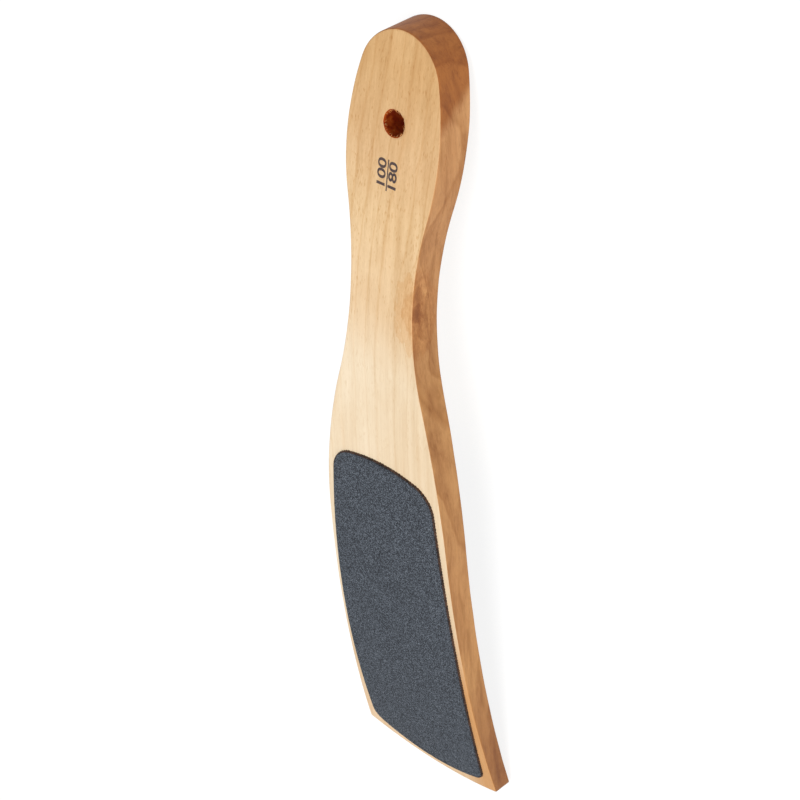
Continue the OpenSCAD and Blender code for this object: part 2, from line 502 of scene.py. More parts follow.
def edgeRings(face):
    # half rings round one face, from the wall to the flat, each with its burnish
    s = woodShape
    edge = s["edgeRound"]
    profile = [(0, edge + s["touchWidth"], 0)]   # inset, depth under the face, burnish
    for step in range(s["edgeSteps"] + 1):
        turn = math.pi / 2 * step / s["edgeSteps"]
        profile.append((edge * (1 - math.cos(turn)), edge * (1 - math.sin(turn)),
                        (1 + math.sin(turn * 2)) / 2))
    profile.append((edge + s["touchWidth"], 0, 0))
    rings = []
    for inset, depth, touch in profile:
        uneven = s["edgeUneven"] if max(inset, depth) <= edge else 0

        def stray(run):
            return 1 + uneven * wander(run, s["unevenPitch"], s["edgeSeeds"][face["name"]])
        half = outline(woodStretches(), s["spacing"], lambda run: inset * stray(run))
        spots = [(x, y, heightOf(face, x) - face["side"] * depth * stray(i * s["spacing"]))
                 for i, (x, y) in enumerate(half)]
        rings.append((spots, touch))
    return rings


def holeFrame():
    # centre of the mouth on the marked face, the way out of it, and the way down the face
    slope = frontFace["slope"]
    place = woodShape["holePlace"]
    return (Vector((place, 0, heightOf(frontFace, place))),
            Vector((-math.sin(slope), 0, math.cos(slope))),
            Vector((math.cos(slope), 0, math.sin(slope))))


def roundHole(step, count):
    # way from the hole's axis to one of the points round it
    mouth, out, alongFace = holeFrame()
    angle = 2 * math.pi * step / count
    return alongFace * math.cos(angle) + Vector((0, math.sin(angle), 0))


def boreRing(mesh, share, rim, seed):
    # vertices round the bore; share is 0 at the marked face and 1 at the hollow face
    s = woodShape
    mouth, out, alongFace = holeFrame()
    backOut = Vector((-math.sin(backFace["slope"]), 0, math.cos(backFace["slope"])))
    backPoint = Vector((backFace["joint"][0], 0, backFace["joint"][1]))
    roundPitch, downPitch = s["boreRoughPitch"]
    ring = []
    for i in range(s["holePoints"]):
        angle = 2 * math.pi * i / s["holePoints"]
        way = roundHole(i, s["holePoints"])
        torn = noise.noise(Vector((math.cos(angle) * s["tearPitch"],
                                   math.sin(angle) * s["tearPitch"], seed))) - s["tearFrom"]
        bumps = noise.noise(way * roundPitch + Vector((0, 0, share * downPitch)))
        reach = (s["holeRadius"] + s["boreRough"] * (1 + bumps)
                 + rim * (1 + s["rimTear"] * max(0, torn)))
        edge = mouth + way * reach
        depth = (edge - backPoint).dot(backOut) / out.dot(backOut)
        ring.append(mesh.verts.new(toMetres(*(edge - out * depth * share))))
    return ring


def closeFace(mesh, near, far, rim):
    # strips across a face of the wood, with a patch round the hole
    reach = (woodShape["holeRadius"] + woodShape["holePatch"]) * mm
    middle = sum(v.co.x for v in rim) / len(rim)
    first = max(i for i, v in enumerate(near) if v.co.x < middle - reach)
    last = min(i for i, v in enumerate(near) if v.co.x > middle + reach)
    bridge(mesh, near[:first + 1], far[:first + 1])
    bridge(mesh, near[last:], far[last:])
    border = near[first:last + 1] + far[first:last + 1][::-1]
    edges = [mesh.edges.get(pair) or mesh.edges.new(pair)
             for ring in (border, rim) for pair in zip(ring, ring[1:] + ring[:1])]
    bmesh.ops.triangle_fill(mesh, use_beauty=True, use_dissolve=False, edges=edges)


def makeWoodenBody():
    s = woodShape
    mesh = bmesh.new()
    touchLayer = mesh.verts.layers.float.new("edgeTouch")
    rings = edgeRings(backFace)[::-1] + edgeRings(frontFace)
    loops = []
    for spots, touch in rings:
        near, far = mirroredRing(mesh, spots)
        for vertex in near + far:
            vertex[touchLayer] = touch
        loops.append((near, far))
    for (nearA, farA), (nearB, farB) in zip(loops, loops[1:]):
        bridge(mesh, nearA, nearB)
        bridge(mesh, farA, farB)

    # bore down the drill's axis, with a rim and a flat collar at each mouth
    mouths = []
    for share, name in ((0, "front"), (1, "back")):
        rim, collar = (boreRing(mesh, share, s[width], s["rimSeeds"][name])
                       for width in ("rimRound", "collar"))
        for vertex in rim:
            vertex[touchLayer] = 1.0
        mouths.append((rim, collar))
    (topRim, topCollar), (bottomRim, bottomCollar) = mouths
    wall = 1 - 2 * s["boreStart"]
    inner = [boreRing(mesh, s["boreStart"] + wall * k / s["boreRings"], 0, 0)
             for k in range(s["boreRings"] + 1)]
    bore = [topRim, *inner, bottomRim]
    boreFaces = []
    for first, second in zip(bore, bore[1:]):
        boreFaces += bridge(mesh, first, second, closed=True)
    for rim, collar in mouths:
        bridge(mesh, rim, collar, closed=True)
    closeFace(mesh, *loops[-1], topCollar)
    closeFace(mesh, *loops[0], bottomCollar)

    for face in mesh.faces:
        face.smooth = True
    bmesh.ops.recalc_face_normals(mesh, faces=mesh.faces)
    for face in boreFaces:
        face.material_index = 1
    return meshed("wood_body", mesh)


# wood finish

woodFigure = {
    "ringSpacing": 0.0046,
    "heart": (0.105, 0.028),          # metres from the board to the rings' centre, across and down
    # slow and quick bends of the rings, as (noise scale, detail, reach)
    "bends": (((8, 30, 30), 2.0, 0.0075), ((48, 150, 150), 3.0, 0.0022)),
    "pace": (0.37, 2.6),              # how often and how much the rings' width changes
    "ringLine": ((0, 0.0), (0.80, 0.0), (0.90, 1.0), (0.94, 0.8), (1, 0.0)),
    "ringBand": ((0, 0.1), (0.45, 0.2), (0.9, 1.0), (1, 0.1)),
    "knotPlace": (-0.0505, 0.0120, 0.0212),
    "knotReach": (0.0140, 0.0075, 0.0080),
    "knotBorder": ((230, 520, 520), 7.0, 0.7),
    "knotRagged": (1.3, 0.62),        # how far the border strays, and what that takes off
    "knotSwell": (1.4, 0.2, 0.0042),  # from where to where the rings bend round it, and how far
    # fibres of three widths, as (noise scale, detail, roughness, share)
    "streaks": (((480, 2500, 2500), 2.0, 0.7, 0.25), ((42, 1500, 1500), 3.0, 0.6, 0.25),
                ((5, 420, 160), 2.0, 0.6, 0.5)),
    "dashes": ((560, 2500, 2500), 1.0, 0.4),
    "dashCrowds": ((60, 240, 240), 1.0, 0.22),   # dashes crowd together in some places
    "dashLine": ((0, 0.0), (0.735, 0.0), (0.83, 1.0), (1, 1.0)),
    # noise scale, detail, roughness, distortion and shift
    "flame": ((55, 310, 310), 3.0, 0.6, 0.7, (0, 0.2, 0)),
    "mottle": ((30, 95, 95), 4.0, 0.58, 0.9, (0.3, 0, 0)),
}

woodFinish = {
    # tones down the length, with places in millimetres from the head's tip
    # the faces' tones are partly the wood's own colour and partly painted light: the head is darker
    # and the blade paler also for how light falls along the bowed face
    "faceTones": ((10, (223, 180, 126)), (34, (232, 193, 145)), (50, (238, 203, 155)),
                  (78, (240, 208, 166)), (96, (248, 227, 195)), (190, (248, 225, 192)),
                  (235, (244, 211, 172))),
    # the sides' tones are darker and warmer than the faces' partly as painted shade for the lesser
    # light on the sides and partly as the wood's own colour; the darkest tone round the head's end
    # is painted shade over darker end grain
    "sideTones": ((17, (176, 107, 48)), (20, (219, 162, 107)), (30, (213, 155, 100)),
                  (62, (210, 153, 98)), (95, (195, 140, 85)), (150, (210, 153, 96)),
                  (190, (208, 151, 92)), (232, (172, 113, 60))),
    "steepness": (0.12, 0.45),        # between these a face turns into a side, whose darker tones are partly painted shade
    # on the faces
    "nearTone": (1.03, 1.045, 1.07),  # the faces are a little paler towards the -Y edge and darker and warmer towards +Y
    "farTone": (0.975, 0.955, 0.93),
    "tiltAcross": (-0.015, 0.015),
    "cornerTone": fromScreen(227, 172, 115),
    "cornerAlong": (0.042, 0.080),
    "cornerAcross": (0.015, 0.027),
    "cornerJag": 0.006,
    "bladeStart": (-0.07, -0.02),
    "bladeCalm": 0.45,                # how much the figure fades on the pale blade
    "faceRing": (0.93, 0.875, 0.80),
    "faceKnot": ((0.05, (0.84, 0.64, 0.47)), (0.35, (0.97, 0.86, 0.73)),
                 (0.52, (0.87, 0.71, 0.55)), (0.72, (0.99, 0.93, 0.86)),
                 (0.86, (0.93, 0.84, 0.73)), (1, (1, 1, 1))),
    "faceStreak": ((0.36, (0.88, 0.82, 0.74)), (0.5, (0.985, 0.97, 0.945)),
                   (0.62, (1.07, 1.085, 1.11))),
    "faceMottle": ((0.3, (0.95, 0.91, 0.86)), (0.55, (1, 1, 1)), (0.75, (1.02, 1.02, 1.03))),
    # on the sides, which are sawn along the rings
    "sideLean": 0.55,         # the dark head tone reaches further down next to the marked face
    "sideLeanFrom": 0.009,
    "sideJag": 0.010,
    "sideBand": (0.86, 0.80, 0.72),
    "sideRing": (0.92, 0.88, 0.82),
    "sideKnot": ((0.06, (0.52, 0.36, 0.23)), (0.24, (0.72, 0.56, 0.41)),
                 (0.36, (0.94, 0.86, 0.76)), (0.46, (0.80, 0.67, 0.54)),
                 (0.64, (1.10, 1.08, 1.03)), (0.82, (0.90, 0.80, 0.69)), (1, (1, 1, 1))),
    "sideMottle": ((0.3, (0.88, 0.82, 0.75)), (0.46, (0.99, 0.97, 0.95)),
                   (0.54, (1.02, 1.02, 1.02)), (0.7, (1.08, 1.11, 1.13))),
    "sideFlame": ((0.32, (0.80, 0.73, 0.63)), (0.46, (0.97, 0.95, 0.93)),
                  (0.52, (1.01, 1.01, 1.01)), (0.66, (1.10, 1.13, 1.16))),
    "sideStreak": ((0.36, (0.78, 0.70, 0.61)), (0.44, (0.93, 0.90, 0.87)), (0.5, (1, 1, 1)),
                   (0.62, (1.08, 1.10, 1.12))),
    # on both
    "dashTone": (0.88, 0.80, 0.69),
    "dashCalm": 0.6,          # how many dashes the pale blade does without
    "touchTone": (0.86, 0.77, 0.66),
    "touchShare": 0.2,
    "roughness": 0.56,
    "roughSpread": 0.16,
    "shine": 0.35,
    "dashDepth": 0.6,
    "bump": (0.35, 0.00008),  # strength, and height in metres
}


def woodFigureGroup():
    # growth rings that bend round a small knot, with fibres, dashes and mottling
    w = woodFigure
    labels = ("Ring", "Band", "Streak", "Fleck", "Mottle", "Flame", "Knot")
    tree, enter, leave = newTree(
        "woodFigure", "ShaderNodeTree",
        [("Place", "NodeSocketVector", None), ("Ring Spacing", "NodeSocketFloat", w["ringSpacing"])],
        [(label, "NodeSocketFloat") for label in labels])
    place = enter.outputs["Place"]

    # how far the knot is, in its own sizes, with a ragged border
    away = calcVector(tree, "SUBTRACT", place, w["knotPlace"])
    apart = calcVector(tree, "LENGTH", calcVector(tree, "DIVIDE", away, w["knotReach"]))
    stray, offset = w["knotRagged"]
    knot = calc(tree, "MULTIPLY_ADD", cloudy(tree, place, *w["knotBorder"]), stray,
                calc(tree, "SUBTRACT", apart, offset))

    # rings round a heart that lies outside the board
    split = addNode(tree, "ShaderNodeSeparateXYZ", Vector=place)
    across, deep = (calc(tree, "ADD", split.outputs[i + 1], w["heart"][i]) for i in (0, 1))
    radius = calc(tree, "SQRT", calc(tree, "ADD", calc(tree, "MULTIPLY", across, across),
                                     calc(tree, "MULTIPLY", deep, deep)))
    for scale, detail, reach in w["bends"]:
        radius = calc(tree, "MULTIPLY_ADD", cloudy(tree, place, scale, detail), reach, radius)
    start, stop, reach = w["knotSwell"]
    radius = calc(tree, "MULTIPLY_ADD", eased(tree, apart, start, stop), reach, radius)
    count = calc(tree, "DIVIDE", radius, enter.outputs["Ring Spacing"])
    often, much = w["pace"]
    pace = addNode(tree, "ShaderNodeTexNoise", {"noise_dimensions": "1D"},
                   W=calc(tree, "MULTIPLY", count, often), Scale=1.0, Detail=1.0)
    phase = calc(tree, "FRACT", calc(tree, "MULTIPLY_ADD", outOf(pace, "Fac"), much, count))

    streak = 0.0
    for scale, detail, roughness, share in w["streaks"]:
        fibres = cloudy(tree, place, scale, detail, roughness)
        streak = calc(tree, "MULTIPLY_ADD", fibres, share, streak)
    scale, detail, crowding = w["dashCrowds"]
    dash = calc(tree, "MULTIPLY_ADD", cloudy(tree, place, scale, detail), crowding,
                cloudy(tree, place, *w["dashes"]))
    results = (ramp(tree, phase, w["ringLine"]), ramp(tree, phase, w["ringBand"]), streak,
               ramp(tree, dash, w["dashLine"]), cloudy(tree, place, *w["mottle"]),
               cloudy(tree, place, *w["flame"]), knot)
    for label, result in zip(labels, results):
        tree.links.new(result, leave.inputs[label])
    return tree


def toneAlong(tree, along, tones):
    # tones down the length, by the share of it that lies behind
    return ramp(tree, along, [(place / drawing["length"], fromScreen(*tone))
                              for place, tone in tones])


def woodFace(tree, look, along, across, fromTip, calm):
    # warm at the head, pale on the blade, tan by the blade's corners; the fall from head to blade is
    # partly painted light
    f = woodFinish
    face = toneAlong(tree, fromTip, f["faceTones"])
    toEnd = eased(tree, along, *f["cornerAlong"])
    jagged = calc(tree, "MULTIPLY_ADD", look["Mottle"], f["cornerJag"], across)
    toSide = eased(tree, jagged, *f["cornerAcross"])
    face = mixColour(tree, calc(tree, "MULTIPLY", toEnd, toSide), face, f["cornerTone"])
    tilt = eased(tree, across, *f["tiltAcross"])
    face = times(tree, face, mixColour(tree, tilt, f["nearTone"], f["farTone"]))
    for label in ("Knot", "Mottle"):
        face = times(tree, face, ramp(tree, look[label], f["face" + label]))
    strength = calc(tree, "MULTIPLY_ADD", calm, -f["bladeCalm"], 1.0)
    face = shaded(tree, face, calc(tree, "MULTIPLY", look["Ring"], strength), f["faceRing"])
    return shaded(tree, face, strength, ramp(tree, look["Streak"], f["faceStreak"]))


def woodSide(tree, look, up, fromTip):
    # darker than the faces, partly as painted shade, and darker still towards the head and the
    # blade's end, with a broad and strong figure
    f = woodFinish
    lean = calc(tree, "MULTIPLY", calc(tree, "SUBTRACT", up, f["sideLeanFrom"]), -f["sideLean"])
    jag = calc(tree, "SUBTRACT", look["Mottle"], 0.5)
    slide = calc(tree, "MULTIPLY_ADD", jag, f["sideJag"], lean)
    slide = calc(tree, "DIVIDE", slide, drawing["length"] * mm)
    side = toneAlong(tree, calc(tree, "ADD", fromTip, slide), f["sideTones"])
    for label in ("Mottle", "Flame", "Knot", "Streak"):
        side = times(tree, side, ramp(tree, look[label], f["side" + label]))
    for label in ("Band", "Ring"):
        side = shaded(tree, side, look[label], f["side" + label])
    return side


def makeWoodMaterial(figure):
    f = woodFinish
    length = drawing["length"] * mm
    material, tree, shader, place = newMaterial("pale_hardwood")
    look = addNode(tree, "ShaderNodeGroup", {"node_tree": figure}, Place=place,
                   RingSpacing=woodFigure["ringSpacing"]).outputs
    along, across, up = addNode(tree, "ShaderNodeSeparateXYZ", Vector=place).outputs
    fromTip = calc(tree, "DIVIDE", calc(tree, "ADD", along, length / 2), length)
    calm = eased(tree, along, *f["bladeStart"])
    face = woodFace(tree, look, along, across, fromTip, calm)
    side = woodSide(tree, look, up, fromTip)
    facing = outOf(addNode(tree, "ShaderNodeTexCoord"), "Normal")
    turned = addNode(tree, "ShaderNodeSeparateXYZ", Vector=facing)
    steep = calc(tree, "SUBTRACT", 1.0, calc(tree, "ABSOLUTE", turned.outputs[2]))
    # steep places take the sides' darker tones, which are partly painted shade
    base = mixColour(tree, eased(tree, steep, *f["steepness"]), face, side)
    # dark dashes run through everything, fewest on the pale blade
    sparse = calc(tree, "MULTIPLY_ADD", calm, -f["dashCalm"], 1.0)
    base = shaded(tree, base, calc(tree, "MULTIPLY", look["Fleck"], sparse), f["dashTone"])
    touch = addNode(tree, "ShaderNodeAttribute", {"attribute_name": "edgeTouch"})
    burnish = calc(tree, "MULTIPLY", outOf(touch, "Fac"), f["touchShare"])
    feed(tree, shader.inputs["Base Color"], shaded(tree, base, burnish, f["touchTone"]))
    feed(tree, shader.inputs["Roughness"],
         calc(tree, "MULTIPLY_ADD", look["Streak"], f["roughSpread"],
              f["roughness"] - f["roughSpread"] / 2))
    shader.inputs["Specular IOR Level"].default_value = f["shine"]
    height = calc(tree, "MULTIPLY_ADD", look["Fleck"], -f["dashDepth"], look["Streak"])
    addBump(tree, shader, height, *f["bump"])
    return material


# hanging hole: a scorched bore with torn fibres at its rim

holeFinish = {
    "scorchTones": ((0.38, fromScreen(142, 42, 4)), (0.58, fromScreen(184, 82, 22)),
                    (0.75, fromScreen(222, 148, 74))),
    "scorchNoise": (420.0, 3.0),      # scale and detail
    "ringShare": 0.4,
    "boreRoughness": 0.8,
    "boreShine": 0.15,
    "boreBump": (0.6, 0.0001),
    "fibreTones": ((0.35, fromScreen(222, 148, 74)), (0.6, fromScreen(212, 156, 98))),
    "fibreNoise": (1300.0, 1.0),
    "fibreRoughness": 0.7,
    "rimPoints": 90,
    "rimDepth": (0.12, 0.5, 2.3),     # least, spread and pitch of the fibres' depth in the bore
    "rimOut": 0.1,
    "fibreShare": 0.45,
    "fibreLength": 0.0011,
    "fibreWidth": 0.00012,
    "fibreLean": 0.7,                 # how much the fibres lean down the bore
    "fibreStray": (0.9, 0.9, 0.5),
    "fibreSizes": ((0.5, 0.5, 0.35), (1.3, 1.3, 1.0)),
    "seed": 12,
}


def makeBoreMaterial(figure):
    # drilled wall: end grain darkened by the drill
    h = holeFinish
    material, tree, shader, place = newMaterial("drilled_wood")
    look = addNode(tree, "ShaderNodeGroup", {"node_tree": figure}, Place=place,
                   RingSpacing=woodFigure["ringSpacing"]).outputs
    scorch = cloudy(tree, place, *h["scorchNoise"])
    darkest = h["scorchTones"][0][1]
    colour = mixColour(tree, calc(tree, "MULTIPLY", look["Ring"], h["ringShare"]),
                       ramp(tree, scorch, h["scorchTones"]), darkest)
    feed(tree, shader.inputs["Base Color"], colour)
    shader.inputs["Roughness"].default_value = h["boreRoughness"]
    shader.inputs["Specular IOR Level"].default_value = h["boreShine"]
    addBump(tree, shader, scorch, *h["boreBump"])
    return material


def makeFibreMaterial():
    h = holeFinish
    material, tree, shader, place = newMaterial("torn_fibres")
    tint = cloudy(tree, place, *h["fibreNoise"])
    feed(tree, shader.inputs["Base Color"], ramp(tree, tint, h["fibreTones"]))
    shader.inputs["Roughness"].default_value = h["fibreRoughness"]
    return material


def newGeometryTree(name, inputs):
    # a geometry tree with named inputs
    geometry = ("Geometry", "NodeSocketGeometry")
    return newTree(name, "GeometryNodeTree",
                   [(*geometry, None), *inputs, ("Material", "NodeSocketMaterial", None)],
                   [geometry])


def randomVector(tree, least, most, seed):
    return outOf(addNode(tree, "FunctionNodeRandomValue", {"data_type": "FLOAT_VECTOR"},
                         Min=least, Max=most, Seed=seed))


def endTree(tree, enter, leave, copies):
    # the copies made real and given the tree's material
    real = addNode(tree, "GeometryNodeRealizeInstances", Geometry=copies)
    dress = addNode(tree, "GeometryNodeSetMaterial", Geometry=real.outputs[0],
                    Material=enter.outputs["Material"])
    tree.links.new(dress.outputs[0], leave.inputs[0])


def grownMesh(name, mesh, tree, values):
    # the tree's result on a mesh, kept as a plain mesh
    helper = linked(name + "_helper", mesh)
    modifier = helper.modifiers.new("grow", "NODES")
    modifier.node_group = tree
    ids = {item.name: item.identifier for item in tree.interface.items_tree
           if item.in_out == "INPUT"}
    for key, value in values.items():
        modifier[ids[key]] = value
    data = plainMesh(helper)
    data.name = name
    print(name, len(data.polygons), "faces")
    return linked(name, data)


def fibreTree():
    # thin slivers that start on the rim and lean into the bore
    h = holeFinish
    tree, enter, leave = newGeometryTree("tornFibres", (
        ("Fibre Length", "NodeSocketFloat", h["fibreLength"]),
        ("Fibre Width", "NodeSocketFloat", h["fibreWidth"]),
        ("Share", "NodeSocketFloat", h["fibreShare"]), ("Seed", "NodeSocketInt", h["seed"]),
        ("Centre", "NodeSocketVector", None), ("Inwards", "NodeSocketVector", None)))
    seed = enter.outputs["Seed"]
    chosen = addNode(tree, "FunctionNodeRandomValue", {"data_type": "BOOLEAN"},
                     Probability=enter.outputs["Share"], Seed=seed)
    dots = addNode(tree, "GeometryNodeMeshToPoints", Mesh=enter.outputs["Geometry"],
                   Selection=outOf(chosen))
    sliver = addNode(tree, "GeometryNodeMeshCone", {"fill_type": "TRIANGLE_FAN"}, Vertices=3,
                     RadiusTop=0.0, RadiusBottom=enter.outputs["Fibre Width"],
                     Depth=enter.outputs["Fibre Length"])
    spot = outOf(addNode(tree, "GeometryNodeInputPosition"))
    toCentre = calcVector(tree, "SUBTRACT", enter.outputs["Centre"], spot)
    stray = randomVector(tree, tuple(-most for most in h["fibreStray"]), h["fibreStray"], seed)
    aim = calcVector(tree, "ADD", calcVector(tree, "NORMALIZE", toCentre), stray)
    lean = calcVector(tree, "ADD", aim, enter.outputs["Inwards"])
    turn = addNode(tree, "FunctionNodeAlignRotationToVector", {"axis": "Z"}, Vector=lean)
    strewn = addNode(tree, "GeometryNodeInstanceOnPoints", Points=dots.outputs[0],
                     Instance=sliver.outputs["Mesh"], Rotation=turn.outputs[0],
                     Scale=randomVector(tree, *h["fibreSizes"], seed))
    endTree(tree, enter, leave, strewn.outputs[0])
    return tree


def makeTornFibres():
    h = holeFinish
    mouth, out, alongFace = holeFrame()
    reach = woodShape["holeRadius"] + h["rimOut"]
    least, spread, pitch = h["rimDepth"]
    points = []
    for step in range(h["rimPoints"]):
        way = roundHole(step, h["rimPoints"])
        deep = least + spread * abs(noise.noise(way * pitch))
        points.append(toMetres(*(mouth + way * reach - out * deep)))
    mesh = bpy.data.meshes.new("rim_points")
    mesh.from_pydata(points, [], [])
    return grownMesh("hole_fibres", mesh, fibreTree(), {
        "Fibre Length": h["fibreLength"], "Fibre Width": h["fibreWidth"],
        "Share": h["fibreShare"], "Seed": h["seed"], "Centre": toMetres(*mouth),
        "Inwards": -out * h["fibreLean"], "Material": makeFibreMaterial()})


# abrasive sheets

sheetShape = {
    "start": 126.2,
    "endRadius": 52,
    "straightEdge": 6,
    "widest": 216,
    "sideRadius": 830,
    "sideMargin": 2.3,        # bare wood beside the sheets where they are widest
    "topCorner": 9,
    "bottomCorner": 5,
    "spacing": 0.25,
    "bedDrop": 0.17,          # resin bed under the tips of the grains
    "bedDepth": 0.18,
    "bedSeed": 2.0,
    "bedInsideOut": "front",  # a known fault: its grains stand on its inner face
    "rimWidth": 0.24,         # dark paper left showing round the grit
    "rimScallop": 0.13,
    "scallopPitch": 1.05,
    "scallopStray": 0.8,
    "scallopStrayPitch": 0.9,
    "sootWidth": 0.19,        # scorched wood round the sheet
    "sootUnder": 0.12,
    "sootLift": 0.01,
    "sootSeed": 5.0,
    "bitePitch": 1.05,
    "biteStrayPitch": 0.7,
}

# metres between two grains, and the size of one
coarseGrit = {"word": "coarse", "spacing": 0.00022, "size": 0.00016, "seed": 4}
fineGrit = {"word": "fine", "spacing": 0.00026, "size": 0.00012, "seed": 9}

grainShape = {
    "uprightest": 0.5,        # grains lie where the bed faces up or down more than this
    "crowding": 1.6,          # grains tried on each square of the spacing
    "height": 1.35,           # times the grain's size
    "sunk": 0.5,
    "sizes": ((0.55, 0.55, 0.5), (1, 1, 0.95)),
}


def sheetStretches():
    s, d = sheetShape, drawing
    end, endRadius = d["sheetEnd"], s["endRadius"]
    halfEdge = s["straightEdge"] / 2
    flare = math.tan(math.radians(d["bladeFlare"]))
    bladeHalf = d["bladeWidth"] / 2 - (d["length"] - s["widest"]) * flare
    top = Vector((s["start"] + endRadius, 0))
    bottom = Vector((end - math.sqrt(endRadius ** 2 - halfEdge ** 2), 0))
    side = Vector((s["widest"], bladeHalf - s["sideMargin"] - s["sideRadius"]))
    upperCorner = meetingPoint(top, endRadius - s["topCorner"],
                               side, s["sideRadius"] - s["topCorner"], -1)
    lowerCorner = meetingPoint(bottom, endRadius - s["bottomCorner"],
                               side, s["sideRadius"] - s["bottomCorner"], 1)
    angles = [angleTo(top, upperCorner), angleTo(side, upperCorner),
              angleTo(side, lowerCorner), angleTo(bottom, lowerCorner)]
    return [
        arc(top, endRadius, math.pi, angles[0]),
        arc(upperCorner, s["topCorner"], angles[0], angles[1]),
        arc(side, s["sideRadius"], angles[1], angles[2]),
        arc(lowerCorner, s["bottomCorner"], angles[2], angles[3]),
        arc(bottom, endRadius, angles[3], math.asin(halfEdge / endRadius)),
        straight((end, halfEdge), (end, 0), (1, 0)),
    ]


def sheetRing(mesh, face, lift, inset):
    # vertices round a sheet, on a layer that lies lift above the wood
    half = outline(sheetStretches(), sheetShape["spacing"], inset)
    return mirroredRing(mesh, [(x, y, heightOf(face, x, face["side"] * lift)) for x, y in half])


def makeGritBed(face):
    # a thin closed plate that follows the bow, with a scalloped cut edge
    s = sheetShape
    seed = s["bedSeed"] * face["side"]

    def inset(run):
        beat = abs(math.sin(math.pi * run / s["scallopPitch"]))
        stray = s["scallopStray"] * wander(run, s["scallopStrayPitch"], seed)
        return s["rimWidth"] + s["rimScallop"] * (beat + stray)

    mesh = bmesh.new()
    top = drawing["sheetThickness"] - s["bedDrop"]
    sides = []
    for lift in (top, top - s["bedDepth"]):
        near, far = sheetRing(mesh, face, lift, inset)
        bridge(mesh, near, far)
        sides.append((near, far))
    for first, second in zip(*sides):
        bridge(mesh, first, second)
    bmesh.ops.recalc_face_normals(mesh, faces=mesh.faces)
    # a plate this thin comes out either way round
    insideOut = mesh.calc_volume(signed=True) < 0
    if insideOut != (face["name"] == s["bedInsideOut"]):
        bmesh.ops.reverse_faces(mesh, faces=mesh.faces)
    return meshed(face["name"] + "_grit_bed", mesh)


def makeScorchedLine(face):
    # soot that the cutter left on the wood round a sheet, in small bites
    s = sheetShape
    seed = s["sootSeed"] * face["side"]

    def spread(run):
        bite = math.sin(math.pi * run / s["bitePitch"]) ** 2
        return -s["sootWidth"] * bite * (1 + wander(run, s["biteStrayPitch"], seed))

    mesh = bmesh.new()
    rings = []
    for inset in (spread, lambda run: s["sootUnder"]):
        near, far = sheetRing(mesh, face, s["sootLift"], inset)
        rings.append(near + far[-2:0:-1])
    for quad in bridge(mesh, *rings, closed=True):
        quad.normal_update()
        if quad.normal.z * face["side"] < 0:
            quad.normal_flip()
    return meshed(face["name"] + "_scorched_line", mesh)


def grainTree():
    # sharp grains strewn over the outer face of a bed
    g = grainShape
    tree, enter, leave = newGeometryTree("strewnGrains", (
        ("Spacing", "NodeSocketFloat", coarseGrit["spacing"]),
        ("Grain Size", "NodeSocketFloat", coarseGrit["size"]),
        ("Side", "NodeSocketFloat", 1.0), ("Seed", "NodeSocketInt", coarseGrit["seed"])))
    size, spacing, seed = (enter.outputs[label] for label in ("Grain Size", "Spacing", "Seed"))
    normal = outOf(addNode(tree, "GeometryNodeInputNormal"))
    parts = addNode(tree, "ShaderNodeSeparateXYZ", Vector=normal)
    outwards = calc(tree, "MULTIPLY", parts.outputs[2], enter.outputs["Side"])
    dots = addNode(tree, "GeometryNodeDistributePointsOnFaces", {"distribute_method": "POISSON"},
                   Mesh=enter.outputs["Geometry"], DistanceMin=spacing, Seed=seed,
                   Selection=calc(tree, "GREATER_THAN", outwards, g["uprightest"]),
                   DensityMax=calc(tree, "DIVIDE", g["crowding"],
                                   calc(tree, "MULTIPLY", spacing, spacing)))
    grain = addNode(tree, "GeometryNodeMeshCone", {"fill_type": "NGON"}, Vertices=3,
                    RadiusTop=0.0, RadiusBottom=size,
                    Depth=calc(tree, "MULTIPLY", size, g["height"]))
    sink = addNode(tree, "ShaderNodeCombineXYZ", Z=calc(tree, "MULTIPLY", size, -g["sunk"]))
    centred = addNode(tree, "GeometryNodeTransform", Geometry=grain.outputs["Mesh"],
                      Translation=sink.outputs[0])
    strewn = addNode(tree, "GeometryNodeInstanceOnPoints", Points=dots.outputs["Points"],
                     Instance=centred.outputs[0],
                     Rotation=randomVector(tree, (0, 0, 0), (2 * math.pi,) * 3, seed),
                     Scale=randomVector(tree, *g["sizes"], calc(tree, "ADD", seed, 3)))
    tone = addNode(tree, "FunctionNodeRandomValue", {"data_type": "FLOAT"},
                   Seed=calc(tree, "ADD", seed, 7))
    toned = addNode(tree, "GeometryNodeStoreNamedAttribute",
                    {"data_type": "FLOAT", "domain": "INSTANCE"},
                    Geometry=strewn.outputs[0], Name="grainTone", Value=outOf(tone))
    endTree(tree, enter, leave, toned.outputs[0])
    return tree


def strewGrains(bed, face, grit, tree, material):
    return grownMesh(face["name"] + "_grains", bed.data, tree, {
        "Spacing": grit["spacing"], "Grain Size": grit["size"], "Side": float(face["side"]),
        "Seed": grit["seed"], "Material": material})


# abrasive finishes

slate = fromScreen(53, 58, 67)
darkGrit = fromScreen(28, 33, 40)
paleGrit = fromScreen(122, 131, 142)

gritFinish = {
    "cloudNoise": (120.0, 4.0),       # scale and detail
    "cloud": ((0.3, 0.95), (0.7, 1.03)),
    "bedTones": ((0, darkGrit), (0.55, slate), (1, paleGrit)),
    "bedSpeck": 1.3,                  # specks of the bed, in sizes of a grain
    "bedRoughness": 0.75,
    "bedBump": (0.6, 0.00008),
    "grainTones": ((0, darkGrit), (0.5, slate), (0.8, slate), (1, paleGrit)),
    "grainRoughness": 0.5,
}

paperFinish = {
    "paper": fromScreen(96, 70, 57),
    "film": fromScreen(150, 108, 70),
    "scorch": fromScreen(24, 16, 16),
    "burnNoise": (1400.0, 3.0),
    "burnt": (0.35, 0.65),            # all scorched below, all plain above
    "roughness": 0.85,
    "bump": (0.5, 0.00006),
}


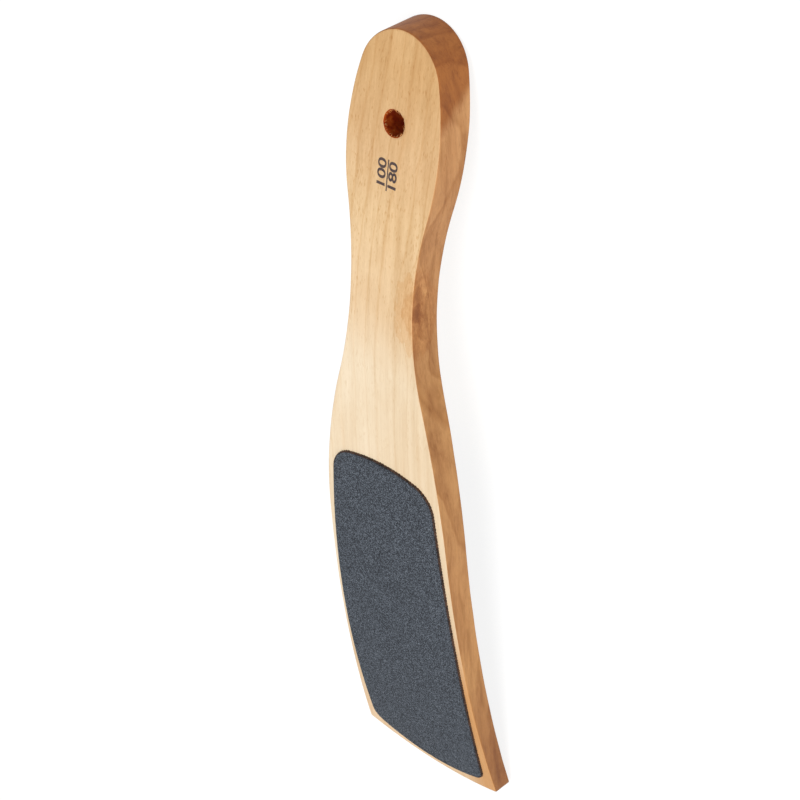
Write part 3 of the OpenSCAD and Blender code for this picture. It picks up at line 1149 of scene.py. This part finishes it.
def speckleGroup():
    # tiny light and dark specks, and a slow cloud over the whole sheet
    tree, enter, leave = newTree(
        "gritSpeckle", "ShaderNodeTree",
        [("Place", "NodeSocketVector", None), ("Speck Size", "NodeSocketFloat", fineGrit["size"])],
        [("Speck", "NodeSocketFloat"), ("Cloud", "NodeSocketFloat")])
    place = enter.outputs["Place"]
    cells = addNode(tree, "ShaderNodeTexVoronoi", Vector=place,
                    Scale=calc(tree, "DIVIDE", 1.0, enter.outputs["Speck Size"]))
    tone = addNode(tree, "ShaderNodeSeparateColor", Color=outOf(cells, "Color"))
    tree.links.new(tone.outputs[0], leave.inputs["Speck"])
    tree.links.new(cloudy(tree, place, *gritFinish["cloudNoise"]), leave.inputs["Cloud"])
    return tree


def startGrit(name, speckle, speckSize):
    # a new material with the specks and the cloud in it
    material, tree, shader, place = newMaterial(name)
    look = addNode(tree, "ShaderNodeGroup", {"node_tree": speckle}, Place=place,
                   SpeckSize=speckSize).outputs
    return material, tree, shader, look


def clouded(tree, look, colour):
    return times(tree, colour, ramp(tree, look["Cloud"], gritFinish["cloud"]))


def makeBedMaterial(grit, speckle):
    # resin between the grains
    f = gritFinish
    material, tree, shader, look = startGrit(grit["word"] + "_resin_bed", speckle,
                                             grit["size"] * f["bedSpeck"])
    colour = ramp(tree, look["Speck"], f["bedTones"])
    feed(tree, shader.inputs["Base Color"], clouded(tree, look, colour))
    shader.inputs["Roughness"].default_value = f["bedRoughness"]
    addBump(tree, shader, look["Speck"], *f["bedBump"])
    return material


def makeGrainMaterial(grit, speckle):
    # each grain has its own tone, which the tree gave it
    f = gritFinish
    material, tree, shader, look = startGrit(grit["word"] + "_grains", speckle, grit["size"])
    tone = addNode(tree, "ShaderNodeAttribute", {"attribute_name": "grainTone"})
    colour = ramp(tree, outOf(tone, "Fac"), f["grainTones"])
    feed(tree, shader.inputs["Base Color"], clouded(tree, look, colour))
    shader.inputs["Roughness"].default_value = f["grainRoughness"]
    return material


def makePaperMaterial(name, colour):
    # cut edge of paper or glue, scorched in places
    p = paperFinish
    material, tree, shader, place = newMaterial(name)
    burn = cloudy(tree, place, *p["burnNoise"])
    stops = tuple(zip(p["burnt"], (p["scorch"], colour)))
    feed(tree, shader.inputs["Base Color"], ramp(tree, burn, stops))
    shader.inputs["Roughness"].default_value = p["roughness"]
    addBump(tree, shader, burn, *p["bump"])
    return material


# grit numbers printed on the handle

gritNumbers = {
    "lines": ("100", "180"),
    "size": 4.06,             # of the font, whose digits stand 0.71 of it high
    "stretch": 1.42,
    "bold": 0.085,
    "digitSpacing": 0.97,
    "centre": 38.4,           # from the head's tip
    "side": -0.5,
    "gap": 3.95,              # between the two lines
    "barLength": 8.6,
    "barWidth": 0.4,
    "lift": 0.012,
    "step": 0.8,              # length of the flat bits that follow the bow
    "inkTones": ((0.35, fromScreen(70, 54, 54)), (0.75, fromScreen(98, 80, 74))),
    "inkNoise": ((400, 2600, 2600), 3.0),
    "roughness": 0.6,
}


def addDigits(mesh, text, shift):
    # one line of digits, flat and centred, moved up by shift
    n = gritNumbers
    data = bpy.data.curves.new("digits", "FONT")
    data.body = text
    data.align_x = "CENTER"
    data.align_y = "CENTER"
    data.size = n["size"]
    data.offset = n["bold"]
    data.space_character = n["digitSpacing"]
    flat = plainMesh(linked("digits", data))
    flat.transform(Matrix.Translation((0, shift, 0)) @ Matrix.Diagonal((n["stretch"], 1, 1, 1)))
    mesh.from_mesh(flat)
    bpy.data.meshes.remove(flat)


def makeGritNumbers():
    n = gritNumbers
    mesh = bmesh.new()
    for text, line in zip(n["lines"], (1, -1)):
        addDigits(mesh, text, line * n["gap"] / 2)
    x, y = n["barLength"] / 2, n["barWidth"] / 2
    mesh.faces.new([mesh.verts.new(corner) for corner in
                    ((-x, -y, 0), (x, -y, 0), (x, y, 0), (-x, y, 0))])
    # read from the blade towards the head: the line runs along -X with its top at -Y
    for vertex in mesh.verts:
        vertex.co = (n["centre"] - vertex.co.x, n["side"] - vertex.co.y, 0)
    place = n["centre"] - n["barLength"]
    while place < n["centre"] + n["barLength"]:
        bmesh.ops.bisect_plane(mesh, geom=mesh.verts[:] + mesh.edges[:] + mesh.faces[:],
                               plane_co=(place, 0, 0), plane_no=(1, 0, 0))
        place += n["step"]
    for vertex in mesh.verts:
        along, across = vertex.co.xy
        vertex.co = toMetres(along, across, heightOf(frontFace, along) + n["lift"])
    for face in mesh.faces:
        if face.normal.z < 0:
            face.normal_flip()
    mesh.normal_update()
    return meshed("grit_numbers", mesh)


def makeInkMaterial():
    # pad-printed ink that lets a little of the grain through
    n = gritNumbers
    material, tree, shader, place = newMaterial("printed_ink")
    wear = cloudy(tree, place, *n["inkNoise"])
    feed(tree, shader.inputs["Base Color"], ramp(tree, wear, n["inkTones"]))
    shader.inputs["Roughness"].default_value = n["roughness"]
    return material


# putting it together

placeCamera()
makeWorld()
makeFloor()
for lamp in studio["lamps"]:
    addLamp(*lamp)
bpy.context.scene.view_settings.view_transform = "Standard"
print("studio ready")

figure = woodFigureGroup()
body = makeWoodenBody()
body.data.materials.append(makeWoodMaterial(figure))
body.data.materials.append(makeBoreMaterial(figure))
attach(body, "root")
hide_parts("wooden_body")
fibres = makeTornFibres()
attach(fibres, "root")
print("wooden body ready")

speckle = speckleGroup()
grains = grainTree()
for face, grit in ((frontFace, coarseGrit), (backFace, fineGrit)):
    bed = makeGritBed(face)
    bed.data.materials.append(makeBedMaterial(grit, speckle))
    strewn = strewGrains(bed, face, grit, grains, makeGrainMaterial(grit, speckle))
    for piece in (bed, strewn):
        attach(piece, "root")
        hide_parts(face["name"] + "_grit_coat")
print("abrasive sheets ready")

soot = makePaperMaterial("scorched_wood", paperFinish["paper"])
paper = makePaperMaterial("scorched_paper", paperFinish["paper"])
film = makePaperMaterial("cured_glue", paperFinish["film"])
for face in (frontFace, backFace):
    line = makeScorchedLine(face)
    line.data.materials.append(soot)
    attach(line, "root")
    for node, material in (("_backing_paper", paper), ("_glue_film", film)):
        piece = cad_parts[face["name"] + node]
        piece.data.materials.clear()
        piece.data.materials.append(material)
print("edges of the sheets ready")

numbers = makeGritNumbers()
numbers.data.materials.append(makeInkMaterial())
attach(numbers, "root")
print("grit numbers ready")
